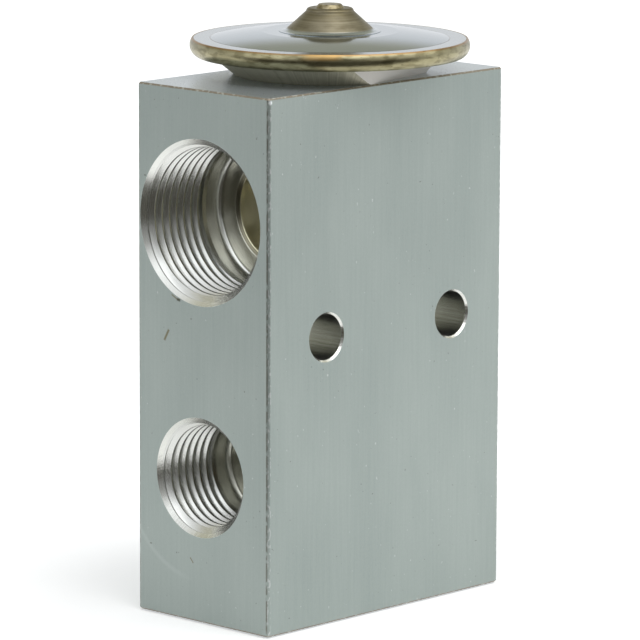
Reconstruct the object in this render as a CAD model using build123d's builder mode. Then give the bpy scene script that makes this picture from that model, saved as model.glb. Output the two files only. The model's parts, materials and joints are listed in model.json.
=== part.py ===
"""Block-type thermostatic expansion valve, in millimetres.

The origin is the middle of the block's foot and +Z is up. The refrigerant lines screw into the
-X face, and the evaporator's into the +X face. All that moves lies on one upright stem axis.
"""
import os
from math import sqrt

from build123d import *

# Fits
sliding_clearance = 0.05  # radial, round a piece that slides or turns in its bore
fixed_clearance = 0.02  # radial, round a piece that is screwed or pressed home
contact_gap = 0.02  # between pieces that bear on each other across a joint
stop_clearance = 0.1  # left at the end of a travel

# Travels
stem_travel = 0.8  # the ball's lift off its seat
screw_pitch = 1.0
screw_turns = 1.0  # either way from the setting it leaves the works with
screw_travel = screw_pitch * screw_turns

# Threads of the four ports
thread_pitch = 25.4 / 18
thread_height = 0.5413 * thread_pitch
mouth_chamfer = 0.55
land_width = 0.75  # plain land behind the last thread
relief_length = 3.35  # groove between the land and the floor
relief_fillet = 0.9
floor_chamfer_reach = 0.72
floor_chamfer_depth = 0.3

# Suction ports, one at each end of the straight upper passage
suction_thread_r = 11.11
suction_floor_depth = 15.0
suction_passage_r = 7.12

# Liquid inlet and evaporator outlet, the two smaller ports
small_thread_r = 7.94
small_floor_depth = 13.8
liquid_passage_r = 3.4
outlet_passage_r = 3.1
outlet_drop = 2.6  # the outlet port's axis below its passage

# Block
floor_span = 17.8  # between the floors of the two suction ports
side_wall = 0.54
port_offset_y = 0.5
stem_x = 1.55
liquid_z = 20.6
chamber_roof = 1.0  # over the liquid passage
lower_web = 1.4  # between the outlet port's thread and the mounting holes
upper_web = 1.45  # between the mounting holes and the suction thread
top_web = 1.6  # between the suction thread and the bore of the head
corner_radius = 0.5
rim_chamfer = 0.25

# Mounting holes through the wide faces
mount_hole_r = 3.25
mount_hole_chamfer = 0.27
mount_pitch = 25.76
mount_offset_x = 0.55

# Head, as heights above the top of the block
neck_r = 9.0
neck_depth = 5.79
neck_gap = 0.8  # from the neck's end to the floor of its bore
neck_wall = 3.35
well_r = 6.0
boss_land = 2.86  # of the boss's foot, outside its seal
flat_land = 0.6  # the same at the wrench flats
flat_turn = 12  # degrees the wrench flats stand round from the block's sides, as screwed home
boss_flare = 3.3  # the boss's top stands out past its foot by this
boss_floor = 1.7
clamp_r = 19.15  # the rim at which flange, diaphragm and cover are clamped
flange_thickness = 1.3
flange_seat_width = 4.15
lip_inset = 0.25
bead_bulge = 0.55
bead_land = 0.25
pad_r = 9.8
pad_thickness = 1.3
dish_play = 0.4
dish_rise = 0.4
diaphragm_thickness = 0.2
wave_margin = 1.0
wave_half_width = 1.4
wave_height = 0.35
cover_thickness = 0.9
cover_flange_width = 2.25
cover_rise = 1.0
cover_knee_rise = 0.5  # where its underside leaves the flange
dome_crown = 0.1  # how far the dome bulges above a straight cone
cover_hole_r = 5.0
head_seal_r = 0.8

# Fill boss and plug, above the cover
fill_foot_r = 7.2
fill_foot_edge = 0.06
fill_land = 2.4  # of the cover, flat round the boss's foot
fill_cone_r = 6.05
fill_cone_start = 0.35
fill_flare = 0.1  # hollow of the arc at the cone's foot
fill_shoulder_r = 3.35
fill_height = 3.27
fill_edge = 0.45
fill_round = 0.12  # rise of the arc at the cone's shoulder
fill_hole_r = 0.9
plug_head_r = 2.05
plug_top_r = 1.6
plug_height = 0.52
plug_shank_length = 3.6

# Rods and their seal
sensing_rod_r = 3.0
rod_chamfer = 0.4
rod_engagement = 2.7  # of the sensing rod below its seal
rod_socket_depth = 2.5
rod_seal_r = 0.82
retainer_height = 0.8
retainer_pocket_play = 0.7
retainer_tooth_count = 8
retainer_tooth_width = 1.4
retainer_tooth_depth = 0.35
push_rod_r = 1.2
push_tip_r = 0.8

# Ball, seat and carrier
ball_r = 2.25
orifice_r = 1.7
seat_r = 3.6
seat_height = 2.6
throat_r = 2.4
carrier_drop = 0.8  # of the carrier's mouth below the ball's centre
carrier_wall = 0.6
carrier_cone_floor_r = 0.8
cup_height = 1.2
carrier_play = 1.4  # round the carrier's flange, in the chamber
carrier_flange_height = 1.0
carrier_boss_length = 3.0

# Chamber, spring and the sprung ring under the carrier
chamber_r = 6.0
spring_mean_r = 3.2
spring_wire_r = 0.42
spring_turns = 6.5
spring_play = 0.3
ring_thickness = 0.3
ring_overhang = 0.3
finger_count = 3
finger_width = 1.8
finger_height = 3.6
finger_gap = 0.12  # from the fingers' tips to the chamber's wall

# Adjusting screw
screw_recess = 1.5
screw_shoulder = 0.5  # its thread stands out past the chamber's wall by this
screw_thread_length = 4.7
screw_nose_length = 5.3
screw_groove_depth = 1.1
screw_groove_width = 1.6
screw_groove_lead = 2.2  # from the thread's shoulder to the groove
screw_edge = 0.4
socket_flats = 6.0
socket_depth = 2.7
socket_floor = 1.0

# Heights, worked up from the foot of the block
screw_z = screw_recess
screw_shoulder_z = screw_z + screw_thread_length
screw_top_z = screw_shoulder_z + screw_nose_length
screw_thread_r = chamber_r + screw_shoulder
screw_groove_r = chamber_r - screw_groove_depth
spring_foot_z = screw_z + socket_depth + socket_floor
chamber_top_z = liquid_z + liquid_passage_r + chamber_roof
seat_top_z = chamber_top_z + seat_height
outlet_z = seat_top_z + outlet_passage_r
evaporator_z = outlet_z - outlet_drop
mount_z = evaporator_z + small_thread_r + lower_web + mount_hole_r
suction_z = mount_z + mount_hole_r + upper_web + suction_thread_r
neck_floor_z = suction_z + suction_thread_r + top_web
block_height = neck_floor_z + neck_depth
block_length = 2 * suction_floor_depth + floor_span
block_width = 2 * (suction_thread_r + mouth_chamfer + port_offset_y + side_wall)

# Ball and carrier hang from the seat
ball_z = chamber_top_z - sqrt(ball_r**2 - orifice_r**2) - contact_gap
carrier_top_z = ball_z - carrier_drop
carrier_cone_r = sqrt(2) * ball_r - carrier_drop
flange_top_z = carrier_top_z - cup_height
flange_foot_z = flange_top_z - carrier_flange_height
ring_foot_z = flange_foot_z - ring_thickness
carrier_boss_r = spring_mean_r - spring_wire_r - spring_play
carrier_flange_r = chamber_r - carrier_play
ring_r = carrier_flange_r + ring_overhang

# Rod seal, under the suction passage
rod_pocket_z = suction_z - suction_passage_r - 2 * rod_seal_r - retainer_height - retainer_pocket_play
rod_pocket_r = sensing_rod_r + 2 * rod_seal_r + 2 * fixed_clearance
retainer_z = rod_pocket_z + 2 * (rod_seal_r + fixed_clearance)
sensing_rod_z = rod_pocket_z - rod_engagement
guide_floor_z = sensing_rod_z - stem_travel - stop_clearance

# Head, from the top of the block up
pad_z = block_height + boss_floor + stem_travel + stop_clearance
diaphragm_z = pad_z + pad_thickness + contact_gap
lip_z = diaphragm_z - flange_thickness
cover_z = diaphragm_z + diaphragm_thickness
cover_flange_z = cover_z + cover_thickness
fill_z = cover_flange_z + cover_rise
plug_z = fill_z + fill_height

# Radii of the head: the boss out from the neck, and the flanges in from the clamped rim
head_groove_r = neck_r + 2 * (head_seal_r + fixed_clearance)
flat_half_width = head_groove_r + flat_land
boss_foot_r = head_groove_r + boss_land
boss_top_r = boss_foot_r + boss_flare
lip_r = clamp_r - lip_inset
bead_r = clamp_r + bead_bulge
bead_top_r = clamp_r + bead_land
flange_seat_r = clamp_r - flange_seat_width
cover_flange_r = clamp_r - cover_flange_width
wave_r = flange_seat_r - wave_margin - wave_half_width
dish_r = pad_r + dish_play

stem_axis = Axis((stem_x, 0, 0), (0, 0, 1))
stem_section = Plane(origin=(stem_x, 0, 0), x_dir=(1, 0, 0), z_dir=(0, -1, 0))


def stem_plane(height):
    """A level plane centred on the stem axis."""
    return Plane(origin=(stem_x, 0, height))


def turn(points):
    """Turn a closed outline of (radius, height) points about the stem axis."""
    with BuildSketch(stem_section) as outline:
        with BuildLine():
            Polyline(*points, close=True)
        make_face()
    revolve(outline.sketch, axis=stem_axis)


def bore(radius, low, high):
    """Cut a round bore on the stem axis between two heights."""
    with BuildSketch(stem_plane(low)) as hole:
        Circle(radius)
    extrude(hole.sketch, amount=high - low, mode=Mode.SUBTRACT)


def ring(inner_r, outer_r, low, high):
    """Add a plain ring on the stem axis between two heights."""
    with BuildSketch(stem_plane(low)) as section:
        Circle(outer_r)
        Circle(inner_r, mode=Mode.SUBTRACT)
    extrude(section.sketch, amount=high - low)


def seal(inner_r, section_r, low):
    """Add an O-ring that lies round inner_r with its underside at a height."""
    with BuildSketch(stem_section) as section:
        with Locations((inner_r + section_r, low + section_r)):
            Circle(section_r)
    revolve(section.sketch, axis=stem_axis)


def cut_port(side, height, thread_r, floor_depth, bore_r):
    """Cut a threaded port: chamfer, thread bore, land, relief groove and the floor round its bore."""
    land_r = thread_r - thread_height
    land_end = floor_depth - relief_length
    thread_end = land_end - land_width
    floor_end = floor_depth + floor_chamfer_depth
    mouth = Plane(
        origin=(side * block_length / 2, port_offset_y, height), x_dir=(-side, 0, 0), z_dir=(0, side, 0)
    )
    with BuildSketch(mouth) as profile:
        with BuildLine():
            Polyline(
                (floor_depth, thread_r - relief_fillet),
                (floor_depth, bore_r + floor_chamfer_reach),
                (floor_end, bore_r),
                (floor_end, 0),
                (0, 0),
                (0, thread_r + mouth_chamfer),
                (mouth_chamfer, thread_r),
                (thread_end, thread_r),
                (thread_end, land_r),
                (land_end, land_r),
                (land_end, thread_r),
                (floor_depth - relief_fillet, thread_r),
            )
            RadiusArc(
                (floor_depth - relief_fillet, thread_r),
                (floor_depth, thread_r - relief_fillet),
                relief_fillet,
            )
        make_face()
    revolve(profile.sketch, axis=Axis(mouth.origin, mouth.x_dir), mode=Mode.SUBTRACT)


def cut_passage(start_x, end_x, y, height, radius):
    """Cut a round passage along X."""
    with BuildSketch(Plane(origin=(start_x, y, height), x_dir=(0, 1, 0), z_dir=(1, 0, 0))) as hole:
        Circle(radius)
    extrude(hole.sketch, amount=end_x - start_x, mode=Mode.SUBTRACT)


# Block, cut from extruded bar
suction_floor_x = block_length / 2 - suction_floor_depth
small_floor_x = block_length / 2 - small_floor_depth
screw_bore_top = screw_shoulder_z + screw_travel + stop_clearance
head_groove_depth = 2 * head_seal_r

with BuildPart() as valve_body:
    with BuildSketch():
        Rectangle(block_length, block_width)
    extrude(amount=block_height)
    fillet(valve_body.edges().filter_by(Axis.Z), corner_radius)
    chamfer(valve_body.faces().sort_by(Axis.Z)[-1].edges(), rim_chamfer)
    chamfer(valve_body.faces().sort_by(Axis.Z)[0].edges(), rim_chamfer)
    for side in (-1, 1):
        cut_port(side, suction_z, suction_thread_r, suction_floor_depth, suction_passage_r)
    cut_port(-1, liquid_z, small_thread_r, small_floor_depth, liquid_passage_r)
    cut_port(1, evaporator_z, small_thread_r, small_floor_depth, outlet_drop + outlet_passage_r)
    cut_passage(-suction_floor_x, suction_floor_x, port_offset_y, suction_z, suction_passage_r)
    cut_passage(-small_floor_x, stem_x, port_offset_y, liquid_z, liquid_passage_r)
    cut_passage(stem_x, small_floor_x, port_offset_y, outlet_z, outlet_passage_r)
    bore(screw_thread_r, 0, screw_bore_top)
    bore(chamber_r, screw_bore_top, chamber_top_z)
    bore(seat_r, chamber_top_z, seat_top_z)
    bore(throat_r, seat_top_z, outlet_z)
    bore(push_rod_r + sliding_clearance, outlet_z, guide_floor_z)
    bore(sensing_rod_r + sliding_clearance, guide_floor_z, rod_pocket_z)
    bore(rod_pocket_r, rod_pocket_z, suction_z)
    bore(well_r, suction_z, neck_floor_z)
    bore(neck_r, neck_floor_z, block_height)
    bore(head_groove_r, block_height - head_groove_depth, block_height)
    mount_face = Plane(origin=(mount_offset_x, -block_width / 2, mount_z), x_dir=(1, 0, 0), z_dir=(0, 1, 0))
    with BuildSketch(mount_face):
        with GridLocations(mount_pitch, 0, 2, 1):
            Circle(mount_hole_r)
    extrude(amount=block_width, mode=Mode.SUBTRACT)
    chamfer(valve_body.faces().sort_by(Axis.Z)[0].inner_wires()[0].edges(), screw_edge)
    wide_faces = valve_body.faces().filter_by(Axis.Y).group_by(Axis.Y)
    for wide_face in (wide_faces[0][0], wide_faces[-1][0]):
        chamfer(wide_face.edges().filter_by(GeomType.CIRCLE), mount_hole_chamfer)

# Lower housing of the head, with its screwed neck, wrench flats and the welded bead round the rim
with BuildPart() as head_lower_housing:
    neck_outer_r = neck_r - fixed_clearance
    neck_inner_r = neck_r - neck_wall
    with BuildSketch(stem_section):
        with BuildLine():
            Polyline(
                (bead_top_r, cover_flange_z),
                (clamp_r, cover_flange_z),
                (clamp_r, diaphragm_z),
                (flange_seat_r, diaphragm_z),
                (dish_r, pad_z + dish_rise),
                (dish_r, block_height + boss_floor),
                (neck_inner_r, block_height + boss_floor),
                (neck_inner_r, neck_floor_z + neck_gap),
                (neck_outer_r, neck_floor_z + neck_gap),
                (neck_outer_r, block_height),
                (boss_foot_r, block_height),
                (boss_top_r, lip_z),
                (lip_r, lip_z),
            )
            ThreePointArc((lip_r, lip_z), (bead_r, (lip_z + cover_flange_z) / 2), (bead_top_r, cover_flange_z))
        make_face()
    revolve(axis=stem_axis)
    with BuildSketch(stem_plane(block_height)):
        Rectangle(2 * bead_r, 2 * bead_r, rotation=flat_turn)
        Rectangle(2 * bead_r, 2 * flat_half_width, rotation=flat_turn, mode=Mode.SUBTRACT)
    extrude(amount=lip_z - block_height, mode=Mode.SUBTRACT)

# Diaphragm, clamped at its rim, with one shallow wave
with BuildPart() as diaphragm:
    wave_start = wave_r - wave_half_width
    wave_end = wave_r + wave_half_width
    with BuildSketch(stem_section):
        with BuildLine():
            Polyline((0, cover_z), (0, diaphragm_z), (wave_start, diaphragm_z))
            ThreePointArc(
                (wave_start, diaphragm_z), (wave_r, diaphragm_z + wave_height), (wave_end, diaphragm_z)
            )
            Polyline((wave_end, diaphragm_z), (clamp_r, diaphragm_z), (clamp_r, cover_z), (wave_end, cover_z))
            ThreePointArc((wave_end, cover_z), (wave_r, cover_z + wave_height), (wave_start, cover_z))
            Line((wave_start, cover_z), (0, cover_z))
        make_face()
    revolve(axis=stem_axis)

# Upper cover, a shallow dome inside a flat flange
with BuildPart() as head_upper_cover:
    dome_r = fill_foot_r + fill_land
    with BuildSketch(stem_section):
        with BuildLine():
            Line((cover_hole_r, fill_z), (dome_r, fill_z))
            SagittaArc((dome_r, fill_z), (cover_flange_r, cover_flange_z), dome_crown)
            Polyline(
                (cover_flange_r, cover_flange_z),
                (clamp_r, cover_flange_z),
                (clamp_r, cover_z),
                (flange_seat_r, cover_z),
                (flange_seat_r - cover_thickness, cover_z + cover_knee_rise),
                (cover_hole_r, fill_z - cover_thickness),
                (cover_hole_r, fill_z),
            )
        make_face()
    revolve(axis=stem_axis)

# Fill boss, a turned cone with the fill hole down its middle
with BuildPart() as fill_boss:
    fill_spigot_r = cover_hole_r - fixed_clearance
    foot_edge_z = fill_z + fill_foot_edge
    cone_z = fill_z + fill_cone_start
    with BuildSketch(stem_section):
        with BuildLine():
            Polyline(
                (fill_shoulder_r, plug_z - fill_edge),
                (fill_cone_r, cone_z),
            )
            SagittaArc((fill_cone_r, cone_z), (fill_foot_r, foot_edge_z), -fill_flare)
            Polyline(
                (fill_foot_r, foot_edge_z),
                (fill_foot_r, fill_z),
                (fill_spigot_r, fill_z),
                (fill_spigot_r, fill_z - cover_thickness),
                (fill_hole_r, fill_z - cover_thickness),
                (fill_hole_r, plug_z),
                (fill_shoulder_r - fill_edge, plug_z),
            )
            SagittaArc(
                (fill_shoulder_r - fill_edge, plug_z), (fill_shoulder_r, plug_z - fill_edge), fill_round
            )
        make_face()
    revolve(axis=stem_axis)

# Charge plug, pressed into the fill hole
with BuildPart() as charge_plug:
    shank_r = fill_hole_r - fixed_clearance
    turn(
        [
            (0, plug_z - plug_shank_length),
            (shank_r, plug_z - plug_shank_length),
            (shank_r, plug_z),
            (plug_head_r, plug_z),
            (plug_top_r, plug_z + plug_height),
            (0, plug_z + plug_height),
        ]
    )
    fillet(charge_plug.edges().group_by(Axis.Z)[-1], (plug_head_r - plug_top_r) / 3)

# Seal between the head and the block
with BuildPart() as head_o_ring:
    seal(neck_r, head_seal_r, block_height - head_groove_depth)

# Pad under the diaphragm
with BuildPart() as diaphragm_pad:
    with BuildSketch(stem_plane(pad_z)):
        Circle(pad_r)
    extrude(amount=pad_thickness)
    chamfer(diaphragm_pad.edges().group_by(Axis.Z)[0], rod_chamfer)

# Sensing rod, from the pad down through the suction passage
with BuildPart() as sensing_rod:
    with BuildSketch(stem_plane(sensing_rod_z)):
        Circle(sensing_rod_r)
    extrude(amount=pad_z - sensing_rod_z)
    chamfer(sensing_rod.edges().group_by(Axis.Z)[0], rod_chamfer)
    bore(push_rod_r + fixed_clearance, sensing_rod_z, sensing_rod_z + rod_socket_depth)

# Seal round the sensing rod, and the toothed ring that keeps it down
with BuildPart() as rod_o_ring:
    seal(sensing_rod_r + fixed_clearance, rod_seal_r, rod_pocket_z)

with BuildPart() as rod_seal_retainer:
    ring(sensing_rod_r + 2 * sliding_clearance, rod_pocket_r, retainer_z, retainer_z + retainer_height)
    with BuildSketch(stem_plane(retainer_z)):
        with PolarLocations(rod_pocket_r, retainer_tooth_count):
            Rectangle(2 * retainer_tooth_depth, retainer_tooth_width)
    extrude(amount=retainer_height, mode=Mode.SUBTRACT)

# Push rod, with a thinner tip through the orifice
with BuildPart() as push_rod:
    push_shoulder_z = seat_top_z + stem_travel + stop_clearance
    turn(
        [
            (0, ball_z + ball_r),
            (push_tip_r, ball_z + ball_r),
            (push_tip_r, push_shoulder_z),
            (push_rod_r, push_shoulder_z),
            (push_rod_r, sensing_rod_z + rod_socket_depth),
            (0, sensing_rod_z + rod_socket_depth),
        ]
    )

# Valve seat, pressed up into the roof of the chamber
with BuildPart() as valve_seat:
    ring(orifice_r, seat_r, chamber_top_z, seat_top_z)

# Ball
with BuildPart() as valve_ball:
    with BuildSketch(stem_section):
        with Locations((0, ball_z)):
            Circle(ball_r)
        with Locations((-ball_r, ball_z)):
            Rectangle(2 * ball_r, 2 * ball_r, mode=Mode.SUBTRACT)
    revolve(axis=stem_axis)

# Carrier: a cup for the ball, a flange for the spring and a boss inside it
with BuildPart() as ball_carrier:
    cup_r = carrier_cone_r + carrier_wall
    cone_floor_z = carrier_top_z - carrier_cone_r + carrier_cone_floor_r
    turn(
        [
            (0, cone_floor_z),
            (carrier_cone_floor_r, cone_floor_z),
            (carrier_cone_r, carrier_top_z),
            (cup_r, carrier_top_z),
            (cup_r, flange_top_z),
            (carrier_flange_r, flange_top_z),
            (carrier_flange_r, flange_foot_z),
            (carrier_boss_r, flange_foot_z),
            (carrier_boss_r, flange_foot_z - carrier_boss_length),
            (0, flange_foot_z - carrier_boss_length),
        ]
    )

# Sprung ring under the carrier's flange, with fingers that steady it in the chamber
with BuildPart() as anti_vibration_spring:
    ring(carrier_boss_r + fixed_clearance, ring_r, ring_foot_z, flange_foot_z)
    finger_tip_r = chamber_r - finger_gap
    finger_side = Plane(origin=(stem_x, -finger_width / 2, 0), x_dir=(1, 0, 0), z_dir=(0, 1, 0))
    with BuildSketch(finger_side):
        with BuildLine():
            Polyline(
                (ring_r - ring_thickness, -ring_foot_z),
                (ring_r, -ring_foot_z),
                (finger_tip_r, -ring_foot_z - finger_height),
                (finger_tip_r - ring_thickness, -ring_foot_z - finger_height),
                close=True,
            )
        make_face()
    finger = extrude(amount=finger_width)
    for index in range(1, finger_count):
        add(finger.rotate(stem_axis, index * 360 / finger_count))

# Superheat spring, a plain coil with its ends ground flat
with BuildPart() as superheat_spring:
    spring_length = ring_foot_z - spring_foot_z
    coil_path = Helix(
        pitch=spring_length / spring_turns,
        height=spring_length,
        radius=spring_mean_r,
        center=(stem_x, 0, spring_foot_z),
    )
    with BuildSketch(Plane(coil_path @ 0, z_dir=coil_path % 0)):
        Circle(spring_wire_r)
    sweep(path=coil_path, is_frenet=True)
    split(bisect_by=stem_plane(spring_foot_z), keep=Keep.TOP)
    split(bisect_by=stem_plane(ring_foot_z), keep=Keep.BOTTOM)

# Adjusting screw: hexagon socket below, spring pocket above and a groove for its seal
with BuildPart() as adjusting_screw:
    thread_r = screw_thread_r - sliding_clearance
    nose_r = chamber_r - sliding_clearance
    groove_z = screw_shoulder_z + screw_groove_lead
    turn(
        [
            (0, screw_z),
            (thread_r - screw_edge, screw_z),
            (thread_r, screw_z + screw_edge),
            (thread_r, screw_shoulder_z),
            (nose_r, screw_shoulder_z),
            (nose_r, groove_z),
            (screw_groove_r, groove_z),
            (screw_groove_r, groove_z + screw_groove_width),
            (nose_r, groove_z + screw_groove_width),
            (nose_r, screw_top_z),
            (0, screw_top_z),
        ]
    )
    bore(spring_mean_r + spring_wire_r + spring_play, spring_foot_z, screw_top_z)
    with BuildSketch(stem_plane(screw_z)):
        RegularPolygon(socket_flats / 2, 6, major_radius=False)
    extrude(amount=socket_depth, mode=Mode.SUBTRACT)

# Seal in the screw's groove
with BuildPart() as adjusting_screw_o_ring:
    screw_seal_r = (chamber_r - screw_groove_r) / 2 - sliding_clearance
    seal_z = groove_z + screw_groove_width / 2 - screw_seal_r
    seal(screw_groove_r + sliding_clearance, screw_seal_r, seal_z)

sub_parts = {
    "valve_body": valve_body,
    "head_lower_housing": head_lower_housing,
    "head_upper_cover": head_upper_cover,
    "fill_boss": fill_boss,
    "charge_plug": charge_plug,
    "diaphragm": diaphragm,
    "diaphragm_pad": diaphragm_pad,
    "head_o_ring": head_o_ring,
    "sensing_rod": sensing_rod,
    "rod_o_ring": rod_o_ring,
    "rod_seal_retainer": rod_seal_retainer,
    "push_rod": push_rod,
    "valve_seat": valve_seat,
    "valve_ball": valve_ball,
    "ball_carrier": ball_carrier,
    "anti_vibration_spring": anti_vibration_spring,
    "superheat_spring": superheat_spring,
    "adjusting_screw": adjusting_screw,
    "adjusting_screw_o_ring": adjusting_screw_o_ring,
}

os.makedirs("parts", exist_ok=True)
for name, sub_part in sub_parts.items():
    sub_part.part.label = name
    export_step(sub_part.part, f"parts/{name}.step")
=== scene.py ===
import json
from math import cos, pi, radians, sin, tan

import bpy
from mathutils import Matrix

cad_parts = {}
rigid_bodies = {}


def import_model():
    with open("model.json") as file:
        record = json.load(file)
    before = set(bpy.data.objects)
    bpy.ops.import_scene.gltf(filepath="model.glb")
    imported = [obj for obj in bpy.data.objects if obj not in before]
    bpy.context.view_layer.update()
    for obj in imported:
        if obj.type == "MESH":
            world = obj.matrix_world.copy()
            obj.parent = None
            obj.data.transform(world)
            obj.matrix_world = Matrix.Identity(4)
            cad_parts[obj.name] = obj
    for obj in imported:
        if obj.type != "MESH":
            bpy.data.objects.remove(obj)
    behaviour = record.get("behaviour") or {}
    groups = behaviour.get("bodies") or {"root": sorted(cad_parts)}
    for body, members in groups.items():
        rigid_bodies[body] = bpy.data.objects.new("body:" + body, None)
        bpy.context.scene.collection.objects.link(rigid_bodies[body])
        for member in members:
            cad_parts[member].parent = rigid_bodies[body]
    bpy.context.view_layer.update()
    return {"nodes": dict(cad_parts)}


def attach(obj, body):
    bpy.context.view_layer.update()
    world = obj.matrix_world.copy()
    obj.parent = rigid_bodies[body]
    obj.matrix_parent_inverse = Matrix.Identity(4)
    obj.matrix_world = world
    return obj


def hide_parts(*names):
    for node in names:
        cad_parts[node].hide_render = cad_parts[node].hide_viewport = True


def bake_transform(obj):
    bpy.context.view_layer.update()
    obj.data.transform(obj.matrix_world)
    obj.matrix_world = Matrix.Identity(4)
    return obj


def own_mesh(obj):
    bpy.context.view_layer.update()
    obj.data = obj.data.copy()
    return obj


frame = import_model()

nodes = frame["nodes"]
bpy.ops.object.select_all(action="DESELECT")

# Valve block. A length of extruded aluminium bar, etched to a satin grey, sawn off and then
# drilled, bored and threaded on all its faces. The skin keeps the faint grain of the die, the
# cut edges are browner, and the bores show bright turned metal with the rings of the tool.
half_length = 0.0239
half_width = 0.0127
half_height = 0.0375
corner_r = 0.0005
rim_chamfer = 0.000245
on_plane = 0.000005  # a point nearer than this to a plane lies in it
port_y = 0.0005
suction_z = 0.0565
liquid_z = 0.0206
evaporator_z = 0.0281
suction_mouth_r = 0.01166
small_mouth_r = 0.00849
suction_floor_r = 0.00776
mount_x = 0.00055
mount_half_pitch = 0.01288
mount_z = 0.04069
mount_mouth_r = 0.00352
stem_x = 0.00155
neck_bore_r = 0.011


class Value:
    """A number that varies over a surface, so that its sums are written as plain arithmetic."""

    def __init__(self, finish, socket):
        self.finish = finish
        self.socket = socket

    def __add__(self, other):
        return self.finish.sum("ADD", self, other)

    def __sub__(self, other):
        return self.finish.sum("SUBTRACT", self, other)

    def __rsub__(self, other):
        return self.finish.sum("SUBTRACT", other, self)

    def __mul__(self, other):
        return self.finish.sum("MULTIPLY", self, other)

    def __truediv__(self, other):
        return self.finish.sum("DIVIDE", self, other)

    def __pow__(self, other):
        return self.finish.sum("POWER", self, other)

    def __gt__(self, other):
        return self.finish.sum("GREATER_THAN", self, other)

    def __lt__(self, other):
        return self.finish.sum("LESS_THAN", self, other)

    def __abs__(self):
        return self.finish.sum("ABSOLUTE", self, 0.0)

    __radd__ = __add__
    __rmul__ = __mul__


class Finish:
    """A metal or rubber finish, worked out from the place of each point on the object."""

    def __init__(self, name, metallic, roughness):
        self.material = bpy.data.materials.new(name)
        self.material.use_nodes = True
        self.tree = self.material.node_tree
        self.shader = self.tree.nodes["Principled BSDF"]
        self.shader.inputs["Metallic"].default_value = metallic
        self.shader.inputs["Roughness"].default_value = roughness
        self.place = self.node("ShaderNodeTexCoord").outputs["Object"]
        parts = self.node("ShaderNodeSeparateXYZ", inputs={0: self.place}).outputs
        self.x, self.y, self.z = (Value(self, part) for part in parts)

    def node(self, kind, settings=None, inputs=None):
        made = self.tree.nodes.new(kind)
        for name, setting in (settings or {}).items():
            setattr(made, name, setting)
        for name, value in (inputs or {}).items():
            self.feed(made.inputs[name], value)
        return made

    def feed(self, socket, value):
        if isinstance(value, Value):
            value = value.socket
        if isinstance(value, bpy.types.NodeSocket):
            self.tree.links.new(value, socket)
        else:
            socket.default_value = value

    def sum(self, operation, a, b):
        return Value(self, self.node("ShaderNodeMath", {"operation": operation}, {0: a, 1: b}).outputs[0])

    def either(self, a, b):
        return self.sum("MAXIMUM", a, b)

    def between(self, value, low, high):
        return (value > low) * (value < high)

    def reach(self, a, b):
        """How far a point is, when a and b are its distances along two square directions."""
        return (a * a + b * b) ** 0.5

    def from_stem(self):
        """Distance out from the upright axis of the stem."""
        return self.reach(self.x - stem_x, self.y)

    def from_port(self, height):
        """Distance out from the level axis of a port."""
        return self.reach(self.y - port_y, self.z - height)

    def ramp(self, value, low, high):
        """0 below low, 1 above high and even in between."""
        made = self.node("ShaderNodeMapRange", inputs={0: value, 1: low, 2: high, 3: 0.0, 4: 1.0})
        return Value(self, made.outputs[0])

    def mottle(self, size, detail=2.0, seed=0.0):
        """Noise from 0 to 1, with blotches of a size, in metres, along x, y and z."""
        per_metre = tuple(1 / length for length in size)
        shift = (seed,) * 3
        scaled = self.node("ShaderNodeVectorMath", {"operation": "MULTIPLY"}, {0: self.place, 1: per_metre})
        moved = self.node("ShaderNodeVectorMath", {"operation": "ADD"}, {0: scaled.outputs[0], 1: shift})
        inputs = {"Vector": moved.outputs[0], "Scale": 1.0, "Detail": detail}
        return Value(self, self.node("ShaderNodeTexNoise", inputs=inputs).outputs[0])

    def lines(self, along, spacing, detail=1.0):
        """Noise from 0 to 1 that varies along one measure only, as tool marks do."""
        inputs = {"W": along / spacing, "Scale": 1.0, "Detail": detail}
        made = self.node("ShaderNodeTexNoise", {"noise_dimensions": "1D"}, inputs)
        return Value(self, made.outputs[0])

    def mix(self, first, second, mask):
        """Two colours, the second where the mask is 1."""
        made = self.node("ShaderNodeMix", {"data_type": "RGBA"}, {0: mask, 6: first, 7: second})
        return made.outputs[2]

    def bump(self, height, distance):
        made = self.node("ShaderNodeBump", inputs={"Height": height, "Strength": 1.0, "Distance": distance})
        self.tree.links.new(made.outputs[0], self.shader.inputs["Normal"])

    def colour(self, value):
        self.feed(self.shader.inputs["Base Color"], value)

    def rough(self, value):
        self.feed(self.shader.inputs["Roughness"], value)

    def metal(self, value):
        self.feed(self.shader.inputs["Metallic"], value)

    def put_on(self, *pieces):
        for piece in pieces:
            piece.data.materials.clear()
            piece.data.materials.append(self.material)


def shade(red, green, blue):
    """A colour as it is mixed on a screen, 0 to 255, turned into light."""
    return tuple(((level / 255 + 0.055) / 1.055) ** 2.4 for level in (red, green, blue)) + (1.0,)


skin = Finish("satin_aluminium_block", 0.6, 0.45)
x, y, z = skin.x, skin.y, skin.z
from_suction = skin.from_port(suction_z)
from_liquid = skin.from_port(liquid_z)
from_mount = skin.reach(abs(x - mount_x) - mount_half_pitch, z - mount_z)
in_liquid_port = (x < 0) * (from_liquid < small_mouth_r)
in_evaporator_port = (x > 0) * (skin.from_port(evaporator_z) < small_mouth_r)
in_port = skin.either(from_suction < suction_mouth_r, skin.either(in_liquid_port, in_evaporator_port))
in_mount = from_mount < mount_mouth_r
at_end = abs(x) > half_length - corner_r
at_side = abs(y) > half_width - corner_r
from_middle = abs(z - half_height)
cut_end = from_middle > half_height - on_plane
outside = skin.either(skin.either(at_end, at_side) * (1 - skin.either(in_port, in_mount)), cut_end)

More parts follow.
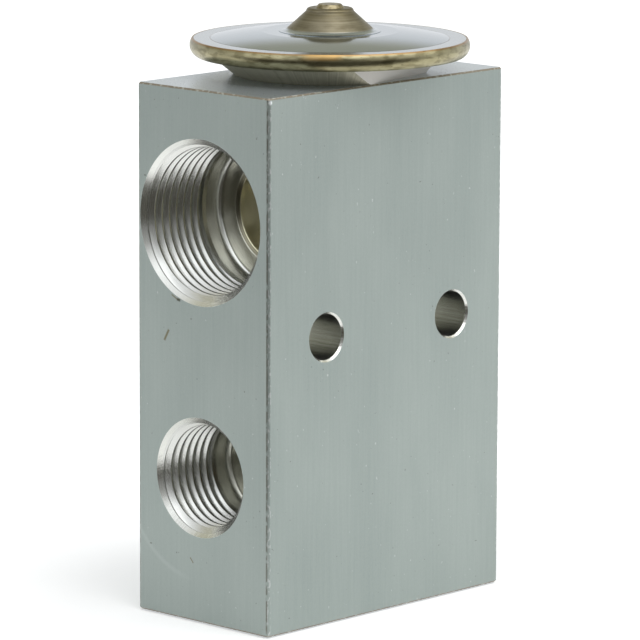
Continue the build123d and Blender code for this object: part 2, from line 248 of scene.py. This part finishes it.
# the skin: cloudy etching, upright grain, dark and light specks
cloud = skin.mottle((0.012, 0.012, 0.03), 3.0)
grain = skin.mottle((0.00035, 0.00035, 0.012), 3.0, 7.0)
fine = skin.mottle((0.00016, 0.00016, 0.0003), 2.0, 3.0)
etching = skin.ramp(cloud * 0.5 + grain * 0.3 + fine * 0.2, 0.3, 0.7)
etched = skin.mix(shade(151, 161, 157), shade(169, 178, 173), etching)
specks = skin.ramp(skin.mottle((0.0006, 0.0006, 0.0006), 1.0, 20.0), 0.76, 0.8)
etched = skin.mix(etched, shade(118, 120, 112), specks * 0.7)
glints = skin.ramp(skin.mottle((0.0005, 0.0005, 0.0007), 1.0, 50.0), 0.775, 0.8)
etched = skin.mix(etched, shade(212, 216, 214), glints * 0.6)

# the upright edges, where the die leaves a dull line with bright rubs beside it
corner = at_end * at_side
round_edge = (half_length - abs(x)) - (half_width - abs(y))
rub_start = -0.0001
dull = corner * skin.between(round_edge, -0.00042, rub_start)
dull = dull * skin.ramp(skin.mottle((0.0005, 0.0005, 0.0009), 3.0, 9.0), 0.38, 0.52)
rub = corner * (round_edge > rub_start)
rub = rub * skin.ramp(skin.mottle((0.0003, 0.0003, 0.0007), 2.0, 31.0), 0.53, 0.6)
etched = skin.mix(etched, shade(112, 111, 102), dull * 0.8)
etched = skin.mix(etched, shade(205, 208, 206), rub * 0.8)

# marks of handling on the line side: scratches, stains and the arc a clamp left under the port
line_side = x < corner_r - half_length


def scratch(start, end, width):
    """A soft edged stroke between two places on the line side, each across and up."""
    across, up = end[0] - start[0], end[1] - start[1]
    length = (across * across + up * up) ** 0.5
    forward = ((y - start[0]) * across + (z - start[1]) * up) / length
    aside = ((y - start[0]) * up - (z - start[1]) * across) / length
    beyond = abs(forward - length / 2) - length / 2
    return line_side * (1 - skin.ramp(skin.either(beyond, abs(aside)), width * 0.3, width))


# colour, start, end, width and strength of each
scratches = (
    ((112, 102, 66), (0.00665, 0.04065), (0.00736, 0.03938), 0.00026, 0.85),
    ((122, 114, 88), (0.00485, 0.04527), (0.00590, 0.04580), 0.00016, 0.8),
    ((66, 62, 44), (0.00450, 0.04523), (0.00475, 0.04527), 0.00028, 0.9),
    ((122, 110, 80), (0.00235, 0.00892), (0.00186, 0.00834), 0.00013, 0.8),
    ((96, 96, 84), (0.0101, 0.00983), (0.0103, 0.00983), 0.00014, 0.8),
    ((104, 106, 98), (0.0111, 0.06205), (0.0113, 0.06205), 0.00014, 0.8),
)
for dirt, start, end, width, strength in scratches:
    etched = skin.mix(etched, shade(*dirt), scratch(start, end, width) * strength)
clamp_r = 0.0148
clamp_arc = line_side * skin.ramp(y, 0.002, 0.006) * (z < 0.02)
clamp_arc = clamp_arc * (1 - skin.ramp(abs(from_liquid - clamp_r), 0.0001, 0.0005))
etched = skin.mix(etched, shade(186, 194, 190), clamp_arc * 0.3)

# the ends and their broken edges, sawn and then milled
end_rows = skin.lines(x + skin.mottle((0.02, 0.02, 0.02), 1.0) * 0.001, 0.0004, 2.0)
sawn = skin.mix(shade(178, 186, 190), shade(196, 203, 207), end_rows)
broken_edge = skin.between(from_middle, half_height - rim_chamfer, half_height - on_plane)
broken_edge = broken_edge * (skin.from_stem() > neck_bore_r)
brown = skin.mix(shade(122, 112, 98), shade(166, 158, 144), skin.mottle((0.003, 0.003, 0.001), 2.0, 13.0))
chips = skin.ramp(skin.mottle((0.0007, 0.0007, 0.0004), 2.0, 61.0), 0.56, 0.62)
brown = skin.mix(brown, shade(198, 200, 192), chips * 0.7)

# the bores, turned bright
depth = half_length - abs(x)
passage_start = 0.0153
tool_path = skin.either(skin.either(in_port * (depth + from_suction), in_mount * (y + from_mount)), 0.0)
rings = skin.lines(tool_path + z * 0.3 * (1 - in_port), 0.00007, 1.0)
turned = skin.mix(shade(206, 206, 198), shade(232, 233, 229), rings)
olive = skin.ramp(depth, 0.0149, passage_start)
turned = skin.mix(turned, shade(226, 219, 182), olive * 0.8)
# painted shade: the floor of the small line port is painted darker, as shade falls in that recess
painted_small_floor_shade = in_liquid_port * skin.ramp(depth, 0.0132, 0.0138)
turned = skin.mix(turned, shade(168, 167, 150), painted_small_floor_shade * 0.8)
# painted shade: the chamfered ring where the suction port's floor meets the passage is painted dark
painted_floor_edge_shade = skin.between(depth, 0.01495, passage_start) * skin.between(from_suction, 0.0072, suction_floor_r)
turned = skin.mix(turned, shade(96, 92, 74), painted_floor_edge_shade * 0.85)
colour = skin.mix(turned, etched, outside)
colour = skin.mix(colour, sawn, cut_end)
colour = skin.mix(colour, brown, broken_edge)
nick_x, nick_z = -0.02352, 0.07442
nick = (y < -0.0122) * (1 - skin.ramp(skin.reach(x - nick_x, z - nick_z), 0.00018, 0.00036))
colour = skin.mix(colour, shade(248, 252, 252), nick)
skin.colour(colour)
skin.metal(1.0 - outside * 0.35)
skin.rough(0.2 + rings * 0.08 * (1 - outside) + outside * 0.22 + outside * grain * 0.1 - cut_end * 0.18)
skin.bump((grain * 0.4 + fine * 0.6) * outside + rings * (1 - outside) * 0.5, 0.000012)
skin.put_on(nodes["valve_body"])

# Port threads. Cut into the bores of the block with a single point tool, eighteen to the inch,
# and bright as turned. Each is a ridge wound round its bore, cut away by the chamfer of the
# mouth and running out into the plain land at its inner end.
thread_pitch = 0.0254 / 18
thread_height = 0.5413 * thread_pitch
thread_turns = 9
thread_steps = 96  # in each turn
thread_sink = 0.00005  # its foot lies this deep in the block
crest_round = 0.00005
suction_thread_r = 0.01111
suction_thread_depth = 0.0109
small_thread_r = 0.00794
small_thread_depth = 0.0097
first_crest = -0.000203  # outside the mouth, so that the chamfer cuts it
mouth_chamfer = 0.00056
cutter_facets = 192
cone_reach = 0.002  # of the mouth's cutter, either side of the face of the block
end_cutter_lead = 0.00302  # from the thread's inner end to the middle of its cutter
same_point = 0.000001


def trim_thread(ridge, cutter):
    """Cut a wound ridge away where a solid stands, which is then thrown away itself."""
    trim = ridge.modifiers.new("trim", "BOOLEAN")
    trim.object = cutter
    trim.operation = "DIFFERENCE"
    trim.solver = "EXACT"
    bpy.context.view_layer.objects.active = ridge
    bpy.ops.object.modifier_apply(modifier="trim")
    bpy.data.objects.remove(cutter)


def wind_thread(name, wall_r, end_depth):
    """A thread ridge about the z axis, its mouth at z 0 and its inner end further up."""
    bpy.ops.mesh.primitive_plane_add(
        size=1.0, location=(wall_r, 0, first_crest), rotation=(radians(90), 0, 0)
    )
    ridge = bpy.context.object
    ridge.name = name
    bpy.ops.object.mode_set(mode="EDIT")
    bpy.ops.mesh.delete(type="ONLY_FACE")
    bpy.ops.object.mode_set(mode="OBJECT")
    crest_half = thread_pitch / 8
    foot_half = crest_half + (thread_height + thread_sink) * tan(radians(30))
    for corner_point in ridge.data.vertices:
        inner = corner_point.co.x < 0
        half = crest_half if inner else foot_half
        corner_point.co.x = -thread_height if inner else thread_sink
        corner_point.co.y = half if corner_point.co.y > 0 else -half
    bpy.ops.object.transform_apply(location=True, rotation=True, scale=True)
    bpy.ops.object.mode_set(mode="EDIT")
    bpy.ops.mesh.select_all(action="DESELECT")
    bpy.ops.object.mode_set(mode="OBJECT")
    for corner_point in ridge.data.vertices:
        corner_point.select = corner_point.co.x < wall_r - thread_height / 2
    bpy.ops.object.mode_set(mode="EDIT")
    bpy.ops.mesh.select_mode(type="VERT")
    bpy.ops.mesh.bevel(offset=crest_round, segments=2, affect="VERTICES")
    bpy.ops.object.mode_set(mode="OBJECT")
    screw = ridge.modifiers.new("thread", "SCREW")
    screw.axis = "Z"
    screw.angle = 2 * pi
    screw.screw_offset = thread_pitch
    screw.iterations = thread_turns
    screw.steps = screw.render_steps = thread_steps
    screw.use_merge_vertices = True
    screw.merge_threshold = same_point
    bpy.ops.object.modifier_apply(modifier="thread")
    bpy.ops.object.mode_set(mode="EDIT")
    bpy.ops.mesh.select_all(action="SELECT")
    bpy.ops.mesh.remove_doubles(threshold=same_point)
    bpy.ops.mesh.select_all(action="DESELECT")
    bpy.ops.mesh.select_non_manifold()
    bpy.ops.mesh.edge_face_add()
    bpy.ops.mesh.select_all(action="SELECT")
    bpy.ops.mesh.normals_make_consistent(inside=False)
    bpy.ops.object.mode_set(mode="OBJECT")
    mouth_r = wall_r + mouth_chamfer
    bpy.ops.mesh.primitive_cone_add(
        vertices=cutter_facets,
        radius1=mouth_r + cone_reach,
        radius2=mouth_r - cone_reach,
        depth=2 * cone_reach,
        location=(0, 0, 0),
    )
    trim_thread(ridge, bpy.context.object)
    bpy.ops.mesh.primitive_cylinder_add(
        vertices=cutter_facets,
        radius=wall_r + 0.001,
        depth=0.006,
        location=(0, 0, end_depth + end_cutter_lead),
    )
    trim_thread(ridge, bpy.context.object)
    bpy.ops.object.select_all(action="DESELECT")
    ridge.select_set(True)
    bpy.context.view_layer.objects.active = ridge
    bpy.ops.object.mode_set(mode="EDIT")
    bpy.ops.mesh.select_all(action="SELECT")
    bpy.ops.mesh.remove_doubles(threshold=same_point / 2)
    bpy.ops.object.mode_set(mode="OBJECT")
    bpy.ops.object.shade_smooth_by_angle(angle=radians(28))
    return ridge


def place_thread(ridge, height, side):
    """Turn a wound ridge in through the face at -x or +x, at a height."""
    bpy.ops.object.select_all(action="DESELECT")
    ridge.select_set(True)
    bpy.context.view_layer.objects.active = ridge
    ridge.rotation_euler = (0, radians(-90 * side), 0)
    ridge.location = (side * half_length, port_y, height)
    bpy.ops.object.transform_apply(location=True, rotation=True, scale=True)


def copy_piece(piece, name):
    """A second piece like the first, with a mesh of its own."""
    twin = piece.copy()
    twin.data = piece.data.copy()
    twin.name = name
    bpy.context.collection.objects.link(twin)
    return twin


suction_thread = wind_thread("suction_line_thread", suction_thread_r, suction_thread_depth)
suction_thread_back = copy_piece(suction_thread, "suction_evaporator_thread")
place_thread(suction_thread, suction_z, -1)
place_thread(suction_thread_back, suction_z, 1)
small_thread = wind_thread("liquid_line_thread", small_thread_r, small_thread_depth)
small_thread_back = copy_piece(small_thread, "evaporator_inlet_thread")
place_thread(small_thread, liquid_z, -1)
place_thread(small_thread_back, evaporator_z, 1)

cut = Finish("cut_aluminium_thread", 1.0, 0.2)
drag = cut.lines(abs(cut.x) * 0.5 + cut.from_port(suction_z), 0.00006, 2.0)
streak = cut.mottle((0.0012, 0.002, 0.002), 3.0, 4.0)
cut.colour(cut.mix(shade(198, 198, 192), shade(228, 229, 226), drag * 0.6 + streak * 0.4))
cut.rough(0.15 + drag * 0.1 + streak * 0.08)
cut.bump(drag, 0.000006)
for ridge in (suction_thread, suction_thread_back, small_thread, small_thread_back):
    cut.put_on(ridge)
    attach(ridge, "block")

# Metering parts. The seat is a brass ring pressed up into the roof of the chamber, and a polished
# steel ball closes it from below. The ball rests in a turned brass carrier, which a blued spring
# ring steadies in the chamber.
lapped = Finish("lapped_brass_seat", 1.0, 0.25)
lap_rings = lapped.lines(lapped.from_stem() + lapped.z, 0.00006)
lapped.colour(lapped.mix(shade(190, 160, 96), shade(222, 196, 132), lap_rings))
lapped.rough(0.2 + lap_rings * 0.15)
lapped.bump(lap_rings, 0.000004)
lapped.put_on(nodes["valve_seat"])

polished = Finish("polished_steel_ball", 1.0, 0.08)
haze = polished.mottle((0.0012, 0.0012, 0.0012), 4.0, 2.0)
polished.colour(polished.mix(shade(196, 199, 204), shade(220, 222, 226), haze))
polished.rough(0.05 + haze * 0.08)
polished.put_on(nodes["valve_ball"])

carrier = Finish("turned_brass_carrier", 1.0, 0.3)
carrier_rings = carrier.lines(carrier.z + carrier.from_stem(), 0.0001, 2.0)
carrier.colour(carrier.mix(shade(172, 144, 84), shade(208, 182, 116), carrier_rings))
carrier.rough(0.24 + carrier_rings * 0.16)
carrier.bump(carrier_rings, 0.000008)
carrier.put_on(nodes["ball_carrier"])

blued = Finish("blued_spring_ring", 1.0, 0.3)
temper = blued.mottle((0.0025, 0.0025, 0.0025), 2.0, 5.0)
blued.colour(blued.mix(shade(84, 92, 118), shade(124, 108, 96), temper))
blued.rough(0.26 + temper * 0.12)
blued.put_on(nodes["anti_vibration_spring"])

# Superheat spring. A plain coil of drawn steel wire with its ends ground flat, between the
# spring ring and the adjusting screw. It is parted at half its height into upper and lower turns.
spring_foot = 0.0052
spring_top = 0.020206
spring_middle = (spring_foot + spring_top) / 2
ground_depth = 0.000004
drawn = Finish("drawn_spring_wire", 1.0, 0.32)
wire_scale = drawn.mottle((0.0003, 0.0003, 0.0009), 3.0, 8.0)
ground = drawn.either(drawn.z < spring_foot + ground_depth, drawn.z > spring_top - ground_depth)
wire = drawn.mix(shade(96, 98, 98), shade(136, 138, 136), wire_scale)
drawn.colour(drawn.mix(wire, shade(190, 192, 192), ground))
drawn.rough(0.26 + wire_scale * 0.16)
drawn.bump(wire_scale, 0.000006)
bpy.ops.object.select_all(action="DESELECT")
upper_turns = copy_piece(nodes["superheat_spring"], "superheat_coil_upper")
upper_turns.select_set(True)
bpy.context.view_layer.objects.active = upper_turns
bpy.ops.object.parent_clear(type="CLEAR_KEEP_TRANSFORM")
bpy.ops.object.transform_apply(location=True, rotation=True, scale=True)
bpy.ops.object.mode_set(mode="EDIT")
bpy.ops.mesh.select_all(action="SELECT")
bpy.ops.mesh.remove_doubles(threshold=same_point)
bpy.ops.object.mode_set(mode="OBJECT")
lower_turns = copy_piece(upper_turns, "superheat_coil_lower")
for turns, upper in ((upper_turns, True), (lower_turns, False)):
    bpy.ops.object.select_all(action="DESELECT")
    turns.select_set(True)
    bpy.context.view_layer.objects.active = turns
    bpy.ops.object.mode_set(mode="EDIT")
    bpy.ops.mesh.select_all(action="SELECT")
    bpy.ops.mesh.bisect(
        plane_co=(stem_x, 0, spring_middle),
        plane_no=(0, 0, 1),
        clear_inner=upper,
        clear_outer=not upper,
        threshold=same_point / 10,
    )
    bpy.ops.mesh.edge_face_add()
    bpy.ops.mesh.select_all(action="SELECT")
    bpy.ops.mesh.normals_make_consistent(inside=False)
    bpy.ops.object.mode_set(mode="OBJECT")
    bpy.ops.object.shade_smooth_by_angle(angle=radians(35))
    drawn.put_on(turns)
    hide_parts("superheat_spring")
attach(upper_turns, "block")
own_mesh(upper_turns)
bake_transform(lower_turns)

# Adjusting screw. Turned brass with a hexagon socket below and a spring pocket above, screwed
# up into the foot of the block. A rubber ring in its groove seals it against the chamber.
brass = Finish("turned_brass_screw", 1.0, 0.3)
brass_out = brass.from_stem()
brass_rings = brass.lines(brass_out + brass.z, 0.00009, 2.0)
age = brass.mottle((0.004, 0.004, 0.004), 3.0, 6.0)
in_socket_painted_shade = (brass_out < 0.0035) * brass.between(brass.z, 0.0016, 0.0043)
brass_colour = brass.mix(shade(176, 148, 88), shade(208, 182, 118), brass_rings * 0.5 + age * 0.5)
brass_colour = brass.mix(brass_colour, shade(122, 98, 58), brass.ramp(age, 0.55, 0.75) * 0.5)
# painted shade: the inside of the hexagon socket is painted darker, and it is also rougher
brass.colour(brass.mix(brass_colour, shade(140, 116, 70), in_socket_painted_shade * 0.6))
brass.rough(0.24 + brass_rings * 0.12 + in_socket_painted_shade * 0.1)
brass.bump(brass_rings, 0.00001)
brass.put_on(nodes["adjusting_screw"])

rubber = Finish("black_seal_rubber", 0.0, 0.55)
bloom = rubber.mottle((0.0006, 0.0006, 0.0006), 3.0, 3.0)
rubber.colour(rubber.mix(shade(26, 27, 26), shade(48, 50, 48), bloom))
rubber.rough(0.5 + bloom * 0.15)
rubber.bump(bloom, 0.00001)
rubber.put_on(nodes["adjusting_screw_o_ring"], nodes["rod_o_ring"], nodes["head_o_ring"])

# Rods. The push rod is hardened pin steel, ground bright, and stands in the foot of the sensing
# rod, an aluminium bar that takes the temperature of the gas in the suction passage. A toothed
# steel ring pressed into the block keeps the rod's seal down.
pin = Finish("ground_pin_steel", 1.0, 0.18)
pin_rings = pin.lines(pin.z, 0.00005, 2.0)
pin.colour(pin.mix(shade(176, 178, 180), shade(206, 208, 210), pin_rings))
pin.rough(0.14 + pin_rings * 0.1)
pin.put_on(nodes["push_rod"])

rod = Finish("turned_aluminium_rod", 1.0, 0.28)
rod_rings = rod.lines(rod.z + rod.from_stem(), 0.00008, 2.0)
oil = rod.mottle((0.003, 0.003, 0.005), 2.0, 12.0)
bar = rod.mix(shade(172, 172, 164), shade(206, 207, 202), rod_rings)
rod.colour(rod.mix(bar, shade(160, 150, 118), oil * 0.5))
rod.rough(0.22 + rod_rings * 0.14)
rod.bump(rod_rings, 0.000006)
rod.put_on(nodes["sensing_rod"])

stamped = Finish("stamped_steel_retainer", 1.0, 0.35)
rolled = stamped.mottle((0.0002, 0.003, 0.003), 3.0, 1.0)
stamped.colour(stamped.mix(shade(132, 134, 136), shade(172, 174, 176), rolled))
stamped.rough(0.3 + rolled * 0.14)
stamped.bump(rolled, 0.000006)
stamped.put_on(nodes["rod_seal_retainer"])

# Lower housing of the head. Cold pressed steel, screwed into the top of the block against its
# seal. The boss is left as pressed, with fine upright scores and two flats for a wrench, and the
# bead welded round the rim is plated yellow.
housing = Finish("pressed_and_plated_housing", 1.0, 0.3)
flat_turn = radians(12)
flat_half_width = 0.01124
bead_z = 0.07755
bead_inner_r = 0.0188
out = housing.from_stem()
turn_angle = housing.sum("ARCTAN2", housing.y, housing.x - stem_x)
scores = housing.lines(turn_angle, 0.016, 0.0)
wide_scores = housing.lines(turn_angle, 0.05, 2.0)
across_flats = abs((housing.x - stem_x) * sin(flat_turn) - housing.y * cos(flat_turn))
painted_sheen_flat = abs(across_flats - flat_half_width) < 0.00002
pressed = housing.mix(shade(150, 146, 124), shade(214, 210, 190), scores * 0.5 + wide_scores * 0.5)
# painted sheen: the wrench flats are painted lighter than the pressed boss, as where they catch the light
pressed = housing.mix(pressed, shade(206, 203, 198), painted_sheen_flat)
plating = housing.mottle((0.004, 0.004, 0.0012), 3.0, 17.0)
pits = housing.ramp(housing.mottle((0.0005, 0.0005, 0.0003), 2.0, 41.0), 0.66, 0.72)
gold = housing.mix(shade(122, 115, 84), shade(178, 172, 140), plating)
tarnish = housing.ramp(housing.mottle((0.0022, 0.0022, 0.0007), 4.0, 33.0), 0.47, 0.6)
gold = housing.mix(gold, shade(86, 78, 48), tarnish * 0.5)
gold = housing.mix(gold, shade(92, 82, 50), pits * 0.6)
weld_line = housing.ramp(housing.z, 0.07975, 0.07998) * (out > 0.0192)
gold = housing.mix(gold, shade(150, 112, 66), weld_line * 0.8)
weld_end_angle = -2.44
weld_end = 1 - housing.ramp(abs(turn_angle - weld_end_angle), 0.08, 0.16)
weld_end = weld_end * housing.ramp(housing.z, 0.0791, 0.0794) * (out > 0.019)
gold = housing.mix(gold, shade(190, 152, 92), weld_end * 0.6)
plated = (housing.z > bead_z) * (out > bead_inner_r)
housing.colour(housing.mix(pressed, gold, plated))
housing.metal(0.4 + plated * 0.6)
housing.rough(0.46 - plated * 0.15 + pits * plated * 0.2 + scores * 0.1 * (1 - plated))
housing.bump(scores * (1 - plated) * (1 - painted_sheen_flat) * 0.6 + (plating - pits * 0.4) * plated, 0.00003)
housing.put_on(nodes["head_lower_housing"])

# Diaphragm and pad. The diaphragm is a disc of spring steel foil with one pressed wave, clamped
# between the housing and the cover, and the brass pad under it carries its push to the rod.
foil = Finish("rolled_steel_foil", 1.0, 0.24)
roll_lines = foil.mottle((0.00012, 0.006, 0.006), 3.0, 9.0)
foil.colour(foil.mix(shade(168, 170, 172), shade(200, 202, 204), roll_lines))
foil.rough(0.2 + roll_lines * 0.12)
foil.bump(roll_lines, 0.000004)
foil.put_on(nodes["diaphragm"])

pad = Finish("turned_brass_pad", 1.0, 0.3)
pad_rings = pad.lines(pad.from_stem() + pad.z, 0.00012, 2.0)
pad.colour(pad.mix(shade(178, 150, 90), shade(214, 188, 122), pad_rings))
pad.rough(0.24 + pad_rings * 0.14)
pad.bump(pad_rings, 0.000008)
pad.put_on(nodes["diaphragm_pad"])

# Upper cover. A shallow dome pressed from bright sheet steel, with a flat flange inside the bead
# and a fine line where the press closed on it. It is spun smooth and lightly oiled.
dome = Finish("bright_steel_cover", 1.0, 0.22)
dome_out = dome.from_stem()
spun = dome.lines(dome_out, 0.00018, 3.0)
film = dome.mottle((0.006, 0.006, 0.006), 3.0, 21.0)
sheet = dome.mix(shade(142, 150, 154), shade(160, 169, 174), spun * 0.4 + film * 0.6)
press_line = dome.between(dome_out, 0.01674, 0.01695)
sheet = dome.mix(sheet, shade(96, 94, 88), press_line * 0.85)
flange = dome.ramp(dome_out, 0.0169, 0.0171)
sheet = dome.mix(sheet, shade(162, 167, 166), flange * 0.6)
dome.colour(sheet)
dome.rough(0.08 + film * 0.06 + spun * 0.03 + flange * 0.05)
dome.bump(spun * 0.3 - press_line, 0.000004)
dome.put_on(nodes["head_upper_cover"])

# Fill boss and plug. The boss is a turned steel cone, brazed into the cover, through which the
# charge goes in. The plug pressed into it after filling has a worn, rounded head.
cone = Finish("turned_steel_boss", 1.0, 0.34)
cone_rings = cone.lines(cone.z, 0.00022, 3.0)
cone_fine = cone.lines(cone.z, 0.00007, 1.0)
stain = cone.mottle((0.003, 0.003, 0.0012), 3.0, 23.0)
browned = cone.ramp(cone_rings * 0.35 + stain * 0.65, 0.25, 0.75)
turned_steel = cone.mix(shade(98, 91, 72), shade(156, 149, 128), browned)
# darker brown towards the top of the cone, in blotches
browner_top = cone.ramp(cone.z, 0.0826, 0.0836) * cone.ramp(stain, 0.3, 0.6)
turned_steel = cone.mix(turned_steel, shade(98, 88, 56), browner_top * 0.7)
foot_ring = cone.ramp(cone.from_stem(), 0.0059, 0.0062)
turned_steel = cone.mix(turned_steel, shade(166, 174, 178), foot_ring)
cone.colour(turned_steel)
cone.rough(0.4 + cone_rings * 0.1 - foot_ring * 0.28)
cone.bump((cone_rings * 0.5 + cone_fine * 0.5) * (1 - foot_ring), 0.000011)
cone.put_on(nodes["fill_boss"])

plug = Finish("worn_steel_plug", 1.0, 0.36)
wear = plug.mottle((0.0006, 0.0006, 0.0005), 3.0, 27.0)
plug.colour(plug.mix(shade(104, 92, 62), shade(164, 154, 126), plug.ramp(wear, 0.3, 0.65)))
plug.rough(0.34 + wear * 0.12)
plug.bump(wear, 0.00002)
plug.put_on(nodes["charge_plug"])

# Studio. A pale floor and background, two soft lamps overhead and a plain lit room, with the
# camera a little above the block and turned to its near edge.
towards_camera = (-0.726, -0.688)
camera_turn = radians(-46.53)
floor_shift = 0.53  # of its middle, away from the camera
floor_drop = 0.0002
black = (0.0, 0.0, 0.0, 1.0)
white = (1.0, 1.0, 1.0, 1.0)
bpy.ops.mesh.primitive_plane_add(size=1.0, rotation=(0, 0, camera_turn))
floor = bpy.context.object
floor.name = "floor"
floor.scale = (1.4, 1.2, 1.0)
floor.location = (-towards_camera[0] * floor_shift, -towards_camera[1] * floor_shift, -floor_drop)
bpy.ops.object.transform_apply(location=True, rotation=True, scale=True)
paper = Finish("white_paper", 0.0, 0.9)
tooth = paper.mottle((0.002, 0.002, 0.002), 2.0)
paper.colour(paper.mix(shade(240, 240, 240), shade(244, 244, 244), tooth))
paper.shader.inputs["Specular IOR Level"].default_value = 0.0
rays = paper.node("ShaderNodeLightPath").outputs
seen = paper.either(Value(paper, rays["Is Camera Ray"]), Value(paper, rays["Is Glossy Ray"]))
seen = paper.either(seen, Value(paper, rays["Is Transmission Ray"]))
glow = seen * (paper.ramp(paper.reach(paper.x, paper.y), 0.035, 0.1) * 0.25 + 0.4)
paper.feed(paper.shader.inputs["Emission Color"], paper.mix(black, white, glow))
paper.feed(paper.shader.inputs["Emission Strength"], 1.0)
paper.put_on(floor)


class Room(Finish):
    """The lit room round the object, by direction: white behind it, dimmer behind the camera."""

    def __init__(self, world):
        world.use_nodes = True
        self.tree = world.node_tree
        self.place = self.node("ShaderNodeTexCoord").outputs["Generated"]
        parts = self.node("ShaderNodeSeparateXYZ", inputs={0: self.place}).outputs
        self.x, self.y, self.z = (Value(self, part) for part in parts)


bpy.context.scene.world = bpy.data.worlds.new("studio_room")
room = Room(bpy.context.scene.world)
facing = room.x * towards_camera[0] + room.y * towards_camera[1]
below = room.ramp(facing, 0.0, 0.35) * (1 - room.ramp(room.z, 0.04, 0.14))
around = room.ramp(facing, 0.75, 0.92) * (1 - room.ramp(room.z, 0.35, 0.6))
behind = (1 - room.ramp(facing, -0.3, 0.1)) * room.ramp(room.z, 0.26, 0.38)
dim = room.either(below, around * 0.75)
beside = room.ramp(facing, 0.15, 0.3) * (1 - room.ramp(facing, 0.65, 0.8))
beside = beside * (1 - room.ramp(room.x, -0.6, -0.5))
beside = beside * room.ramp(room.z, 0.12, 0.2) * (1 - room.ramp(room.z, 0.6, 0.8))
rays = room.node("ShaderNodeLightPath").outputs
seen = room.either(Value(room, rays["Is Camera Ray"]), Value(room, rays["Is Transmission Ray"]))
glossy = Value(room, rays["Is Glossy Ray"])
mirrored = room.mix((0.95, 0.97, 1.0, 1.0), (0.07, 0.067, 0.055, 1.0), dim)
mirrored = room.mix(mirrored, (0.55, 0.54, 0.43, 1.0), behind)
mirrored = room.mix(mirrored, (1.7, 1.75, 1.8, 1.0), beside)
light = room.mix((0.47, 0.485, 0.49, 1.0), mirrored, glossy)
light = room.mix(light, white, seen)
room.feed(room.tree.nodes["Background"].inputs["Color"], light)

bpy.ops.object.light_add(
    type="AREA", location=(-0.05, -0.35, 0.7), rotation=(radians(26.6), radians(-4), 0)
)
lamp = bpy.context.object
lamp.name = "overhead_lamp"
lamp.data.shape = "RECTANGLE"
lamp.data.size = 0.7
lamp.data.size_y = 0.7
lamp.data.energy = 3.0
bpy.ops.object.light_add(type="AREA", location=(0.5, -0.5, 0.5), rotation=(radians(50), 0, radians(45)))
lamp = bpy.context.object
lamp.name = "side_lamp"
lamp.data.size = 0.5
lamp.data.energy = 0.8

bpy.ops.object.camera_add(
    location=(-0.51321, -0.48562, 0.16793), rotation=(radians(79.73), radians(-0.21), camera_turn)
)
camera = bpy.context.object
camera.data.lens = 285.2
camera.data.sensor_width = 36.0
bpy.context.scene.camera = camera
bpy.context.scene.view_settings.view_transform = "Standard"
